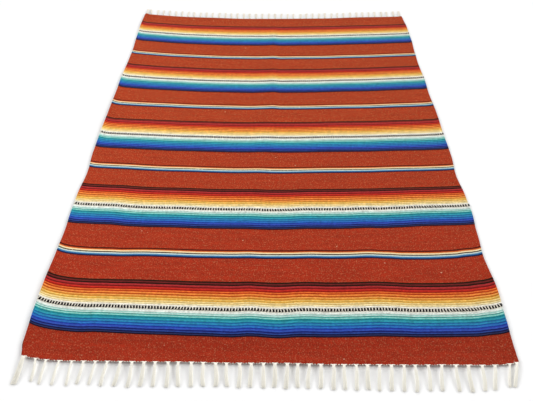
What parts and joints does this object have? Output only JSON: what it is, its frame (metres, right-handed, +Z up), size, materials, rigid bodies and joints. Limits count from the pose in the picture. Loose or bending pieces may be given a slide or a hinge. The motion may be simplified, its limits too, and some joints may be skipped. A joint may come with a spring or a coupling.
{
  "type": "mexican serape blanket, laid flat",
  "caption": "Fringed handwoven cotton serape blanket laid out flat, with raised rainbow weft bands across a rust ground.",
  "frame": {"origin": "middle of the footprint, on the floor that the blanket lies on", "axes": "+Y along the blanket from its front end to its back end, +X across it to the right, +Z up out of its face"},
  "size_m": [1.551, 2.2942, 0.0062],
  "materials": {
    "rust_weave": "matt weft-faced weave of spun cotton and acrylic yarn",
    "cream_cotton": "matt undyed cotton warp yarn, loosely twisted"
  },
  "bodies": {
    "root": {"woven_cloth": "rust_weave", "fringe_front": "cream_cotton", "fringe_back": "cream_cotton"}
  },
  "joints": []
}
